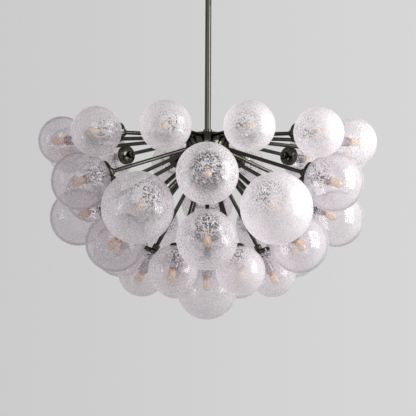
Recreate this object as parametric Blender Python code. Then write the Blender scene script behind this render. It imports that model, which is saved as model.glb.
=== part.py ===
"""Chandelier of 37 glass globes on straight arms that leave one ball hub, hung by a stem and a swivel.

Metres, +Z up. The origin is the centre of the ceiling plate's top face, so the lamp hangs below zero.
Azimuth is turned from -Y, the front, towards +X. Elevation is the tilt of an arm above level.
"""

import math

import bmesh
import bpy
from mathutils import Matrix, Vector

# Fits and facets
seat_gap = 0.0003
cut_overrun = 0.002
hole_clearance = 0.0006
globe_sides = 10
globe_bands = 6
arm_sides = 8
round_sides = 12
large_sides = 20
hub_sides = 16

# Glass globes
small_globe_diameter = 0.150
medium_globe_diameter = 0.180
large_globe_diameter = 0.213
bottom_globe_diameter = 0.190
glass_wall = 0.003
mouth_radius = 0.024
mouth_lip_width = 0.004
least_globe_gap = 0.0147

# Arms, caps and sockets, sizes that all rings share
arm_radius = 0.006
collar_radius = 0.011
collar_length = 0.016
cap_dome_rise = 0.006
cap_lip_width = 0.002
cap_lip_drop_share = 0.8
sleeve_radius = 0.014
flat_cap_depth = 0.009
deep_cap_depth = 0.020
wide_cap_radius = 0.038
top_cap_radius = 0.0305
inner_cap_radius = 0.031
socket_sleeve_length = 0.064
bottom_sleeve_length = 0.036

# Ball hub
hub_radius = 0.068
hub_flat_share = 0.6470588
hub_seam_share = 0.0588235
hub_wall = 0.0025
hub_drop_in_cluster = 0.014
bottom_flange_radius = 0.010
bottom_flange_height = 0.004
rod_radius = 0.0065
rod_bore_radius = 0.004
rod_rise = 0.014

# Stem
stem_radius = 0.0095
stem_wall = 0.0015
stem_length = 0.460
stem_collar_radius = 0.0145
stem_collar_height = 0.012
cable_radius = 0.0045

# Swivel
pin_radius = 0.003
pin_head_radius = 0.0055
pin_head_thickness = 0.002
clip_radius = 0.005
clip_thickness = 0.0012
pin_tail = 0.0025
knuckle_radius = 0.009
knuckle_half_width = 0.0112
ear_thickness = 0.004
ear_side_gap = 0.0003
fork_body_radius = 0.0165
fork_body_height = 0.011
fork_to_pin_drop = 0.018
ferrule_radius = 0.014
ferrule_height = 0.020
ferrule_drop = 0.010
stem_socket_depth = 0.014

# Ceiling fixing
plate_radius = 0.055
plate_thickness = 0.004
plate_hole_radius = 0.003
plate_hole_circle_radius = 0.040
plate_hole_count = 4
wire_hole_radius = 0.007
wire_hole_offset = 0.036
bracket_half_width = 0.020
bracket_half_depth = 0.012
bracket_drop = 0.016
bracket_thickness = 0.003
nipple_radius = 0.0066
nipple_bore_radius = 0.004
nipple_rise = 0.010
nipple_tail = 0.008
nut_radius = 0.0108
nut_height = 0.0055
canopy_radius = 0.075
canopy_depth = 0.030
canopy_rim_height = 0.008
canopy_shoulder_radius = 0.060
canopy_shoulder_height = 0.024
canopy_floor_radius = 0.030
canopy_wall = 0.0015
ring_nut_radius = 0.015
ring_nut_height = 0.008

# Rings of globes, from the top down. Aim is the height where an arm's line meets the hub's axis, root is
# where the arm starts on that line, and the block is what the ring's arms are fixed to inside the hub, all
# as shares of the hub's radius, counted from the ball's centre. Reach is a share of the cluster's radius.
RINGS = (
    dict(name="top", count=12, first_azimuth=15, elevation=-1.4, reach_share=1.0,
         globe=small_globe_diameter, cap_radius=top_cap_radius, cap_depth=deep_cap_depth,
         sleeve=socket_sleeve_length, aim_share=0.50, root_share=0.375,
         block_top_share=0.57, block_bottom_share=0.34, block_radius_share=0.44),
    dict(name="upper", count=6, first_azimuth=0, elevation=-18.45, reach_share=1.0,
         globe=medium_globe_diameter, cap_radius=wide_cap_radius, cap_depth=flat_cap_depth,
         sleeve=socket_sleeve_length, aim_share=0.21, root_share=0.287,
         block_top_share=0.20, block_bottom_share=0.02, block_radius_share=0.32),
    dict(name="middle", count=6, first_azimuth=30, elevation=-30.45, reach_share=1.015,
         globe=large_globe_diameter, cap_radius=wide_cap_radius, cap_depth=flat_cap_depth,
         sleeve=socket_sleeve_length, aim_share=0.03, root_share=0.31,
         block_top_share=-0.06, block_bottom_share=-0.24, block_radius_share=0.32),
    dict(name="lower", count=6, first_azimuth=0, elevation=-45.5, reach_share=0.996,
         globe=medium_globe_diameter, cap_radius=wide_cap_radius, cap_depth=flat_cap_depth,
         sleeve=socket_sleeve_length, aim_share=-0.12, root_share=0.33,
         block_top_share=-0.28, block_bottom_share=-0.46, block_radius_share=0.28),
    dict(name="inner", count=6, first_azimuth=30, elevation=-63.7, reach_share=0.993,
         globe=small_globe_diameter, cap_radius=inner_cap_radius, cap_depth=flat_cap_depth,
         sleeve=socket_sleeve_length, aim_share=-0.24, root_share=0.415,
         block_top_share=-0.50, block_bottom_share=-0.68, block_radius_share=0.23),
    dict(name="bottom", count=1, first_azimuth=0, elevation=-90.0, reach_share=1.0,
         globe=bottom_globe_diameter, cap_radius=wide_cap_radius, cap_depth=flat_cap_depth,
         sleeve=bottom_sleeve_length, aim_share=-0.72, root_share=0.08,
         block_top_share=-0.72, block_bottom_share=-0.90, block_radius_share=0.14),
)
rod_end_share = -0.83
middle_side_azimuths = (90, 270)

# Heights, from the ceiling down
bracket_floor = -plate_thickness - bracket_drop
nipple_top = bracket_floor + nipple_rise
canopy_floor = -canopy_depth
ring_nut_top = canopy_floor - seat_gap
fork_top = ring_nut_top - ring_nut_height - seat_gap
fork_bottom = fork_top - fork_body_height
nipple_bottom = fork_bottom - nipple_tail
pin_height = fork_bottom - fork_to_pin_drop
ferrule_top = pin_height - ferrule_drop
ferrule_bottom = ferrule_top - ferrule_height
stem_top = ferrule_bottom + stem_socket_depth - seat_gap
stem_bottom = stem_top - stem_length
hub_top = stem_bottom - seat_gap
hub_flat_height = hub_flat_share * hub_radius
hub_seam_height = hub_seam_share * hub_radius
hub_centre = hub_top - hub_flat_height
cluster_centre = hub_centre + hub_drop_in_cluster
rod_top = stem_bottom + rod_rise
rod_bottom = hub_centre + rod_end_share * hub_radius

# Swivel, from the pin outwards
ear_inner = knuckle_half_width + ear_side_gap
ear_outer = ear_inner + ear_thickness


def direction(azimuth, elevation):
    """Unit vector that points out of the hub, for angles in degrees."""
    turn, tilt = math.radians(azimuth), math.radians(elevation)
    return Vector((math.cos(tilt) * math.sin(turn), -math.cos(tilt) * math.cos(turn), math.sin(tilt)))


def spacing_radius(ring, other, turn):
    """Cluster radius at which globes of two neighbouring rings, `turn` degrees apart, keep the least gap."""
    angle = direction(0, ring["elevation"]).angle(direction(turn, other["elevation"]))
    reach = (ring["globe"] + other["globe"]) / 2 + least_globe_gap
    return reach / (2 * math.sin(angle / 2))


# Every globe's centre lies on one sphere, large enough for the tightest pair of neighbours.
cluster_radius = max(
    spacing_radius(ring, below, (ring["first_azimuth"] - below["first_azimuth"]) or 0)
    for ring, below in zip(RINGS, RINGS[1:])
)


def azimuths(ring):
    return [ring["first_azimuth"] + 360 / ring["count"] * i for i in range(ring["count"])]


def globe_diameter(ring, azimuth):
    """The middle ring carries the large globes, apart from its two at the sides."""
    if ring["name"] == "middle" and round(azimuth) in middle_side_azimuths:
        return medium_globe_diameter
    return ring["globe"]


def globe_centre(ring, azimuth):
    reach = ring["reach_share"] * cluster_radius
    return Vector((0, 0, cluster_centre)) + reach * direction(azimuth, ring["elevation"])


def aim_point(ring):
    return Vector((0, 0, hub_centre + ring["aim_share"] * hub_radius))


def arm_frame(ring, azimuth):
    """Matrix that turns +Z to an arm's line, with the origin where that line meets the hub's axis."""
    start = aim_point(ring)
    line = globe_centre(ring, azimuth) - start
    tilt = math.atan2(line.z, math.hypot(line.x, line.y))
    turn = Matrix.Rotation(math.radians(azimuth), 4, "Z")
    return Matrix.Translation(start) @ turn @ Matrix.Rotation(math.pi / 2 - tilt, 4, "X")


def arm_length(ring, azimuth):
    """From the hub's axis to the globe's centre."""
    return (globe_centre(ring, azimuth) - aim_point(ring)).length


def mouth_height(globe_radius):
    """Distance from a globe's centre to the plane of its mouth."""
    return math.sqrt(globe_radius ** 2 - mouth_radius ** 2)


def material(name, colour, roughness, metallic, transmission=0.0):
    made = bpy.data.materials.new(name)
    made.use_nodes = True
    shader = made.node_tree.nodes["Principled BSDF"]
    shader.inputs["Base Color"].default_value = (*colour, 1.0)
    shader.inputs["Roughness"].default_value = roughness
    shader.inputs["Metallic"].default_value = metallic
    shader.inputs["Transmission Weight"].default_value = transmission
    made.diffuse_color = (*colour, 1.0)
    return made


def turned(profile, sides, loop=False):
    """Closed solid of revolution about Z. The profile is (radius, height) points, from axis to axis, or
    a closed loop clear of the axis."""
    shape = bmesh.new()
    rings = []
    for radius, height in profile:
        if radius == 0:
            rings.append([shape.verts.new((0, 0, height))])
            continue
        rings.append([
            shape.verts.new((radius * math.cos(2 * math.pi * (i + 0.5) / sides),
                             radius * math.sin(2 * math.pi * (i + 0.5) / sides), height))
            for i in range(sides)
        ])
    pairs = list(zip(rings, rings[1:]))
    if loop:
        pairs.append((rings[-1], rings[0]))
    for first, second in pairs:
        for i in range(sides):
            j = (i + 1) % sides
            corners = [first[i % len(first)], first[j % len(first)],
                       second[j % len(second)], second[i % len(second)]]
            shape.faces.new(list(dict.fromkeys(corners)))
    bmesh.ops.recalc_face_normals(shape, faces=shape.faces)
    return shape


def tube(outer, inner, top, bottom, sides):
    return turned([(outer, top), (outer, bottom), (inner, bottom), (inner, top)], sides, loop=True)


def rod(radius, top, bottom, sides):
    return turned([(0, top), (radius, top), (radius, bottom), (0, bottom)], sides)


def prism(outline, low, high):
    """Solid between x = low and x = high, from a closed outline of (y, z) points."""
    shape = bmesh.new()
    face = shape.faces.new([shape.verts.new((low, y, z)) for y, z in outline])
    grown = bmesh.ops.extrude_face_region(shape, geom=[face])
    moved = [item for item in grown["geom"] if isinstance(item, bmesh.types.BMVert)]
    bmesh.ops.translate(shape, verts=moved, vec=(high - low, 0, 0))
    bmesh.ops.recalc_face_normals(shape, faces=shape.faces)
    return shape


def gathered(shapes, frames):
    """One bmesh that holds a copy of each shape in its frame."""
    whole = bmesh.new()
    for shape, frame in zip(shapes, frames):
        mesh = bpy.data.meshes.new("copy")
        shape.transform(frame)
        shape.to_mesh(mesh)
        whole.from_mesh(mesh)
        shape.free()
        bpy.data.meshes.remove(mesh)
    return whole


def finished_mesh(name, shape, finish, crease=math.radians(40)):
    mesh = bpy.data.meshes.new(name)
    shape.to_mesh(mesh)
    shape.free()
    mesh.shade_smooth()
    mesh.set_sharp_from_angle(angle=crease)
    mesh.materials.append(finish)
    return mesh


def placed(name, mesh, holder, place=None):
    """Object in the scene that keeps its place in the world and moves with its holder."""
    made = bpy.data.objects.new(name, mesh)
    bpy.context.scene.collection.objects.link(made)
    made.matrix_world = place or Matrix()
    made.parent = holder
    made.matrix_parent_inverse = holder.matrix_world.inverted()
    return made


def holder_empty(name, height, parent=None):
    empty = bpy.data.objects.new(name, None)
    bpy.context.scene.collection.objects.link(empty)
    empty.matrix_world = Matrix.Translation((0, 0, height))
    if parent:
        empty.parent = parent
        empty.matrix_parent_inverse = parent.matrix_world.inverted()
    bpy.context.view_layer.update()
    return empty


def combined(target, name, shape, operation):
    """Adds a Boolean to the target, with a helper that isn't part of the lamp."""
    mesh = bpy.data.meshes.new(name)
    shape.to_mesh(mesh)
    shape.free()
    helper = placed(name, mesh, target.parent)
    helper.hide_render = True
    helper.display_type = "WIRE"
    step = target.modifiers.new(name, "BOOLEAN")
    step.operation = operation
    step.object = helper


def arc(radius, start, end, steps):
    """Points (radius, height) of a circle about the ball's centre, by angle from +Z."""
    return [(radius * math.sin(start + (end - start) * i / steps),
             radius * math.cos(start + (end - start) * i / steps)) for i in range(steps + 1)]


def globe_mesh(name, diameter, finish):
    """Thin shell with its mouth towards -Z, the hub's side, and a flat lip that seats in the cap.

    The corners stand out from the true sphere as far as the flats fall inside it.
    """
    radius = diameter / 2
    facet_factor = math.cos(math.pi / globe_sides) ** -0.5
    plane = mouth_height(radius)
    mouth_angle = math.pi - math.asin(mouth_radius / radius)
    step = mouth_angle / globe_bands
    outer = arc(radius * facet_factor, 0, mouth_angle - step, globe_bands - 1)
    inner = arc((radius - glass_wall) * facet_factor, 0, mouth_angle - step, globe_bands - 1)
    outer[0] = (0, radius)
    inner[0] = (0, radius - glass_wall)
    lip = [(mouth_radius, -plane), (mouth_radius - mouth_lip_width, -plane)]
    return finished_mesh(name, turned(outer + lip + inner[::-1], globe_sides), finish)


def arm_shape(ring, azimuth):
    """Arm, collar, cap and socket sleeve as one turned piece along +Z, from inside the hub outwards."""
    radius = globe_diameter(ring, azimuth) / 2
    floor = arm_length(ring, azimuth) - mouth_height(radius) - seat_gap
    lip_radius = ring["cap_radius"] - cap_lip_width
    lip_flat_radius = lip_radius * math.cos(math.pi / arm_sides)
    sphere_drop = mouth_height(radius) - math.sqrt(radius ** 2 - lip_flat_radius ** 2)
    rim = floor + cap_lip_drop_share * sphere_drop
    shoulder = rim - ring["cap_depth"]
    collar_end = shoulder - cap_dome_rise
    start = ring["root_share"] * hub_radius
    profile = [
        (0, start),
        (arm_radius, start),
        (arm_radius, collar_end - collar_length),
        (collar_radius, collar_end - collar_length),
        (collar_radius, collar_end),
        (ring["cap_radius"], shoulder),
        (ring["cap_radius"], rim),
        (lip_radius, rim),
        (lip_radius, floor),
        (sleeve_radius, floor),
        (sleeve_radius, floor + ring["sleeve"]),
        (0, floor + ring["sleeve"]),
    ]
    return turned(profile, arm_sides)


def shell_distance(ring, azimuth):
    """How far along an arm's line the hub's outer surface lies."""
    line = (globe_centre(ring, azimuth) - aim_point(ring)).normalized()
    offset = Vector((0, 0, ring["aim_share"] * hub_radius))
    along = line.dot(offset)
    return -along + math.sqrt(along ** 2 - offset.length_squared + hub_radius ** 2)


def arm_hole_cutters(rings):
    """Rods through the hub's shell, one for each arm, that leave a clearance all round."""
    shapes, frames = [], []
    for ring in rings:
        for azimuth in azimuths(ring):
            reach = shell_distance(ring, azimuth)
            depth = hub_wall + 2 * arm_radius
            shapes.append(rod(arm_radius + hole_clearance, reach + depth, reach - depth, arm_sides))
            frames.append(arm_frame(ring, azimuth))
    return gathered(shapes, frames)


def ring_of_arms(ring, holder, finish):
    """The block inside the hub with the ring's arms, caps and socket sleeves fixed to it."""
    name = "arm_bottom" if ring["count"] == 1 else "arms_" + ring["name"]
    top = hub_centre + ring["block_top_share"] * hub_radius
    bottom = hub_centre + ring["block_bottom_share"] * hub_radius
    block = placed(name, finished_mesh(
        name, rod(ring["block_radius_share"] * hub_radius, top, bottom, round_sides), finish), holder)
    turns = azimuths(ring)
    shapes = [arm_shape(ring, azimuth) for azimuth in turns]
    combined(block, name + "_tubes", gathered(shapes, [arm_frame(ring, azimuth) for azimuth in turns]), "UNION")
    bore_bottom = bottom - cut_overrun
    if ring["count"] == 1:
        bore_bottom = rod_bottom - seat_gap
        flange_top = hub_centre - hub_radius - seat_gap
        flange = rod(bottom_flange_radius, flange_top, flange_top - bottom_flange_height, round_sides)
        combined(block, name + "_flange", flange, "UNION")
    combined(block, name + "_bore", rod(rod_radius + seat_gap, top + cut_overrun, bore_bottom, round_sides),
             "DIFFERENCE")


def hub_covers(holder, finish):
    """The ball that hides the blocks: a flat-topped upper shell and a lower one, drilled for the arms."""
    hole = rod_radius + hole_clearance
    seam_half_gap = seat_gap / 2
    flat_angle = math.acos(hub_flat_height / hub_radius)
    inner_radius = hub_radius - hub_wall
    inner_flat_angle = math.acos((hub_flat_height - hub_wall) / inner_radius)

    upper_edge = hub_seam_height + seam_half_gap
    outer = arc(hub_radius, flat_angle, math.acos(upper_edge / hub_radius), 3)
    inner = arc(inner_radius, inner_flat_angle, math.acos(upper_edge / inner_radius), 3)
    profile = [(hole, hub_flat_height)] + outer + inner[::-1] + [(hole, hub_flat_height - hub_wall)]
    upper = placed("hub_cover_upper", finished_mesh(
        "hub_cover_upper", turned(profile, hub_sides, loop=True), finish), holder,
        Matrix.Translation((0, 0, hub_centre)))
    combined(upper, "upper_arm_holes", arm_hole_cutters(RINGS[:1]), "DIFFERENCE")

    lower_edge = hub_seam_height - seam_half_gap
    arm_hole = arm_radius + hole_clearance
    outer = arc(hub_radius, math.acos(lower_edge / hub_radius), math.pi - math.asin(arm_hole / hub_radius), 5)
    inner = arc(inner_radius, math.acos(lower_edge / inner_radius),
                math.pi - math.asin(arm_hole / inner_radius), 5)
    lower = placed("hub_cover_lower", finished_mesh(
        "hub_cover_lower", turned(outer + inner[::-1], hub_sides, loop=True), finish), holder,
        Matrix.Translation((0, 0, hub_centre)))
    combined(lower, "lower_arm_holes", arm_hole_cutters(RINGS[1:5]), "DIFFERENCE")


def hub_rod_and_stem(holder, metal, hardware, insulation):
    """Threaded pipe through the hub's blocks, and the stem tube that it hangs from."""
    placed("hub_rod", finished_mesh(
        "hub_rod", tube(rod_radius, rod_bore_radius, rod_top, rod_bottom, round_sides), hardware), holder)
    bushing_outer = stem_radius - stem_wall - seat_gap
    placed("stem_bushing", finished_mesh(
        "stem_bushing", tube(bushing_outer, rod_radius + seat_gap, rod_top, stem_bottom, round_sides),
        hardware), holder)
    placed("stem_collar", finished_mesh(
        "stem_collar", tube(stem_collar_radius, stem_radius + seat_gap,
                            stem_bottom + stem_collar_height, stem_bottom, round_sides), metal), holder)
    placed("stem_tube", finished_mesh(
        "stem_tube", tube(stem_radius, stem_radius - stem_wall, stem_top, stem_bottom, round_sides),
        metal), holder)
    placed("supply_cable", finished_mesh(
        "supply_cable", rod(cable_radius, stem_top, rod_top + seat_gap, arm_sides), insulation), holder)


def rounded_strip(top, end_height, half_width, steps=6):
    """Outline (y, z) of a strip that hangs from `top` and ends in a half circle about `end_height`."""
    outline = [(half_width, top), (-half_width, top)]
    for i in range(steps + 1):
        angle = math.pi * (1 + i / steps)
        outline.append((half_width * math.cos(angle), end_height + half_width * math.sin(angle)))
    return outline


def swivel_fork(holder, metal):
    """Turns on the nipple, and carries the pin in its two ears."""
    fork = placed("swivel_fork", finished_mesh(
        "swivel_fork", rod(fork_body_radius, fork_top, fork_bottom, round_sides), metal), holder)
    ear_top = fork_bottom + cut_overrun
    ears = [prism(rounded_strip(ear_top, pin_height, knuckle_radius), side[0], side[1])
            for side in ((ear_inner, ear_outer), (-ear_outer, -ear_inner))]
    combined(fork, "fork_ears", gathered(ears, [Matrix(), Matrix()]), "UNION")
    combined(fork, "fork_bore", rod(nipple_radius + seat_gap, fork_top + cut_overrun,
                                    fork_bottom - cut_overrun, round_sides), "DIFFERENCE")
    combined(fork, "fork_pin_hole", pin_hole_cutter(), "DIFFERENCE")


def pin_frame():
    return Matrix.Translation((0, 0, pin_height)) @ Matrix.Rotation(math.pi / 2, 4, "Y")


def pin_hole_cutter():
    reach = ear_outer + cut_overrun
    return gathered([rod(pin_radius + seat_gap, reach, -reach, round_sides)], [pin_frame()])


def swivel_pin(holder, hardware):
    """Headed pin along X, kept by a clip at its plain end."""
    head = ear_outer + seat_gap
    tail = -ear_outer - pin_tail
    profile = [(0, head + pin_head_thickness), (pin_head_radius, head + pin_head_thickness),
               (pin_head_radius, head), (pin_radius, head), (pin_radius, tail), (0, tail)]
    placed("swivel_pin", finished_mesh("swivel_pin", turned(profile, round_sides), hardware), holder, pin_frame())
    clip_top = -ear_outer - seat_gap
    placed("pin_clip", finished_mesh(
        "pin_clip", tube(clip_radius, pin_radius + seat_gap, clip_top, clip_top - clip_thickness, round_sides),
        hardware), holder, pin_frame())


def swivel_tongue(holder, metal):
    """Knuckle that hangs on the pin, with a ferrule that holds the stem."""
    tongue = placed("swivel_tongue", finished_mesh(
        "swivel_tongue", rod(ferrule_radius, ferrule_top, ferrule_bottom, round_sides), metal), holder)
    outline = [(y, 2 * pin_height - z) for y, z in
               rounded_strip(2 * pin_height - ferrule_top + cut_overrun, pin_height, knuckle_radius)]
    knuckle = prism(outline, -knuckle_half_width, knuckle_half_width)
    combined(tongue, "tongue_knuckle", knuckle, "UNION")
    combined(tongue, "tongue_pin_hole", pin_hole_cutter(), "DIFFERENCE")
    combined(tongue, "tongue_stem_socket", rod(stem_radius + seat_gap, stem_top + seat_gap,
                                               ferrule_bottom - cut_overrun, round_sides), "DIFFERENCE")


def ceiling_plate(holder, hardware):
    """Round plate that the ceiling screws hold, with a bracket under it for the nipple."""
    plate = placed("ceiling_plate", finished_mesh(
        "ceiling_plate", rod(plate_radius, 0, -plate_thickness, large_sides), hardware), holder)
    leg_top = -plate_thickness / 2
    inner = bracket_half_width - bracket_thickness
    web_top = bracket_floor + bracket_thickness
    outline = [(-bracket_half_width, leg_top), (-bracket_half_width, bracket_floor),
               (bracket_half_width, bracket_floor), (bracket_half_width, leg_top),
               (inner, leg_top), (inner, web_top), (-inner, web_top), (-inner, leg_top)]
    strap = prism(outline, -bracket_half_depth, bracket_half_depth)
    combined(plate, "plate_bracket", strap, "UNION")
    holes = [rod(plate_hole_radius, cut_overrun, -plate_thickness - cut_overrun, arm_sides)
             for _ in range(plate_hole_count)]
    frames = [Matrix.Rotation(2 * math.pi * (i + 0.5) / plate_hole_count, 4, "Z")
              @ Matrix.Translation((plate_hole_circle_radius, 0, 0)) for i in range(plate_hole_count)]
    holes.append(rod(wire_hole_radius, cut_overrun, -plate_thickness - cut_overrun, arm_sides))
    frames.append(Matrix.Translation((wire_hole_offset, 0, 0)))
    combined(plate, "plate_holes", gathered(holes, frames), "DIFFERENCE")
    combined(plate, "bracket_hole", rod(nipple_radius + seat_gap, web_top + cut_overrun,
                                        bracket_floor - cut_overrun, round_sides), "DIFFERENCE")


def nut(name, top, holder, hardware):
    bore = (nipple_radius + seat_gap) / math.cos(math.pi / 6)
    placed(name, finished_mesh(name, tube(nut_radius, bore, top, top - nut_height, 6), hardware), holder)


def canopy(holder, metal):
    """Spun cover over the plate and the wiring, held up by a ring nut on the nipple."""
    hole = nipple_radius + hole_clearance
    rim = -seat_gap
    outside = [(canopy_radius, rim), (canopy_radius, -canopy_rim_height),
               (canopy_shoulder_radius, -canopy_shoulder_height), (canopy_floor_radius, canopy_floor),
               (hole, canopy_floor)]
    inside = [(hole, canopy_floor + canopy_wall), (canopy_floor_radius, canopy_floor + canopy_wall),
              (canopy_shoulder_radius - canopy_wall, -canopy_shoulder_height + canopy_wall),
              (canopy_radius - canopy_wall, -canopy_rim_height + canopy_wall),
              (canopy_radius - canopy_wall, rim)]
    placed("canopy", finished_mesh("canopy", turned(outside + inside, large_sides, loop=True), metal), holder)
    placed("canopy_ring_nut", finished_mesh(
        "canopy_ring_nut", tube(ring_nut_radius, nipple_radius + seat_gap, ring_nut_top,
                                ring_nut_top - ring_nut_height, round_sides), metal), holder)


def globes(holder, finish):
    meshes = {}
    for ring in RINGS:
        for number, azimuth in enumerate(azimuths(ring), 1):
            diameter = globe_diameter(ring, azimuth)
            if diameter not in meshes:
                meshes[diameter] = globe_mesh("globe_%d_mm" % round(diameter * 1000), diameter, finish)
            name = "globe_bottom" if ring["count"] == 1 else "globe_%s_%02d" % (ring["name"], number)
            place = arm_frame(ring, azimuth) @ Matrix.Translation((0, 0, arm_length(ring, azimuth)))
            placed(name, meshes[diameter], holder, place)


for leftover in list(bpy.data.objects):
    bpy.data.objects.remove(leftover)

seeded_glass = material("seeded_glass", (0.86, 0.84, 0.88), 0.12, 0.0, 0.9)
brown_nickel = material("brown_nickel", (0.20, 0.18, 0.15), 0.22, 1.0)
zinc_steel = material("zinc_steel", (0.55, 0.55, 0.54), 0.40, 1.0)
cable_jacket = material("cable_jacket", (0.05, 0.05, 0.05), 0.60, 0.0)

ceiling_mount = holder_empty("ceiling_mount", 0)
swivel_axis = holder_empty("swivel_axis", fork_bottom, ceiling_mount)
fixture_axis = holder_empty("fixture_axis", pin_height, swivel_axis)

ceiling_plate(ceiling_mount, zinc_steel)
placed("mount_nipple", finished_mesh(
    "mount_nipple", tube(nipple_radius, nipple_bore_radius, nipple_top, nipple_bottom, round_sides),
    zinc_steel), ceiling_mount)
nut("nipple_nut", bracket_floor + bracket_thickness + seat_gap + nut_height, ceiling_mount, zinc_steel)
nut("swivel_nut", fork_bottom - seat_gap, ceiling_mount, zinc_steel)
canopy(ceiling_mount, brown_nickel)

swivel_fork(swivel_axis, brown_nickel)
swivel_pin(swivel_axis, zinc_steel)

swivel_tongue(fixture_axis, brown_nickel)
hub_rod_and_stem(fixture_axis, brown_nickel, zinc_steel, cable_jacket)
hub_covers(fixture_axis, brown_nickel)
for ring in RINGS:
    ring_of_arms(ring, fixture_axis, brown_nickel)
globes(fixture_axis, seeded_glass)
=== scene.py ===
"""Chandelier of seeded glass globes on straight arms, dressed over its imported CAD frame.

Metres, +Z up, the ceiling at zero. Azimuth is turned from -Y, the front, towards +X.
"""

import math
import random

import bmesh
import bpy
from mathutils import Matrix, Vector, noise


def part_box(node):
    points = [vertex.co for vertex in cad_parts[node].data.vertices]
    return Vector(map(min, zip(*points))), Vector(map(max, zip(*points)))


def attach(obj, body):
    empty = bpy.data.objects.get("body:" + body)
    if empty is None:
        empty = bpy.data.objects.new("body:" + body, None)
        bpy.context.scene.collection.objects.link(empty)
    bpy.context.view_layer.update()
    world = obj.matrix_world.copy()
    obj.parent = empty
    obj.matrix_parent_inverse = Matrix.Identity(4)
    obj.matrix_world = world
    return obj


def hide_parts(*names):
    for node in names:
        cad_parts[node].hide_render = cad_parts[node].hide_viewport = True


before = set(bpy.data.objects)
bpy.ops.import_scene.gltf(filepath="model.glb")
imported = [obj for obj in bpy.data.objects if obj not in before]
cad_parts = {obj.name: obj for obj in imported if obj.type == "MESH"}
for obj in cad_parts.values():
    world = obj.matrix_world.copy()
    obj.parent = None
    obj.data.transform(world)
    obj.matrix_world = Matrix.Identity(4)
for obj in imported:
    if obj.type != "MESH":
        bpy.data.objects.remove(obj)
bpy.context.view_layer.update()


# Ceiling plate and hidden fixings
#
# Pressed steel plate, all-thread nipple, nuts, the clip of the swivel's pin, the hub's rod and its
# bushing. All are zinc plated and left as they come from the drum: cloudy, with a faint blue cast.

class Signal:
    """A shader value that joins in Python sums."""

    def __init__(self, finish, socket):
        self.finish = finish
        self.socket = socket

    def maths(self, operation, *values):
        return self.finish.node("ShaderNodeMath", {"operation": operation}, dict(enumerate(values)))

    def __add__(self, other):
        return self.maths("ADD", self, other)

    def __sub__(self, other):
        return self.maths("SUBTRACT", self, other)

    def __rsub__(self, other):
        return self.maths("SUBTRACT", other, self)

    def __mul__(self, other):
        return self.maths("MULTIPLY", self, other)

    def __pow__(self, other):
        return self.maths("POWER", self, other)

    __radd__ = __add__
    __rmul__ = __mul__


class Finish:
    """A material under way, or the room round the lamp. The method node adds any node: its settings
    first, then values and links."""

    def __init__(self, name, owner=None):
        self.owner = owner or bpy.data.materials.new(name)
        self.owner.use_nodes = True
        self.tree = self.owner.node_tree
        self.tree.nodes.clear()

    def node(self, kind, settings=None, inputs=None, output=0):
        made = self.tree.nodes.new(kind)
        for key, value in (settings or {}).items():
            setattr(made, key, value)
        for key, value in (inputs or {}).items():
            if isinstance(value, Signal):
                self.tree.links.new(value.socket, made.inputs[key])
            else:
                made.inputs[key].default_value = value
        return Signal(self, made.outputs[output])

    def place(self):
        """Object coordinates."""
        return self.node("ShaderNodeTexCoord", output="Object")

    def clouds(self, scale, detail=3.0, roughness=0.5):
        return self.node("ShaderNodeTexNoise", None, {
            "Vector": self.place(), "Scale": scale, "Detail": detail, "Roughness": roughness}, "Fac")

    def between(self, low, high, amount):
        """Goes from one colour to another."""
        return self.node("ShaderNodeMix", {"data_type": "RGBA"}, {
            "Factor": amount, 6: (*low, 1), 7: (*high, 1)}, 2)

    def step(self, value, start, end, low=0.0, high=1.0):
        """Smooth step of a value."""
        return self.node("ShaderNodeMapRange", {"interpolation_type": "SMOOTHSTEP"}, {
            "Value": value, "From Min": start, "From Max": end, "To Min": low, "To Max": high})

    def bump(self, height, distance, strength=1.0):
        return self.node("ShaderNodeBump", None, {
            "Height": height, "Distance": distance, "Strength": strength})

    def mixed(self, amount, first, second):
        """Goes from one shader to another."""
        return self.node("ShaderNodeMixShader", None, {0: amount, 1: first, 2: second})

    def output(self, shader, kind="ShaderNodeOutputMaterial"):
        end = self.tree.nodes.new(kind)
        self.tree.links.new(shader.socket, end.inputs["Surface"])
        return self.owner


def zinc_plate():
    """Cloudy grey plate with a fine grain."""
    finish = Finish("zinc_plate")
    cloud = finish.clouds(90.0, 4.0)
    return finish.output(finish.node("ShaderNodeBsdfPrincipled", None, {
        "Base Color": finish.between((0.46, 0.48, 0.50), (0.62, 0.62, 0.60), cloud),
        "Metallic": 1.0,
        "Roughness": finish.step(cloud, 0.3, 0.7, 0.3, 0.48),
        "Normal": finish.bump(finish.clouds(900.0, 2.0), 0.00005),
    }))


def dress(node_name, finish):
    """Gives a CAD node its finish and leaves its shape alone."""
    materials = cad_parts[node_name].data.materials
    materials.clear()
    materials.append(finish)


zinc = zinc_plate()
for fixing in ("ceiling_plate", "mount_nipple", "nipple_nut", "swivel_nut", "pin_clip", "hub_rod",
               "stem_bushing"):
    dress(fixing, zinc)


# Supply cable
#
# Round cable: stranded copper wires in a black rubber jacket, drawn through the stem and hung from
# its top. Only the run in the stem is modelled, and the stem hides it.

def cable_rubber():
    """Matt black jacket."""
    finish = Finish("cable_rubber")
    return finish.output(finish.node("ShaderNodeBsdfPrincipled", None, {
        "Base Color": finish.between((0.02, 0.02, 0.02), (0.04, 0.04, 0.04), finish.clouds(200.0)),
        "Roughness": 0.6,
    }))


dress("supply_cable", cable_rubber())


# Canopy, its ring nut and the swivel
#
# Spun brass cup with a rolled rim, a turned ring nut, and a turned and milled swivel, all plated in
# the lamp's dark nickel, nearly black with a slight olive warmth. The swivel's pin is zinc plated.

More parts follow.
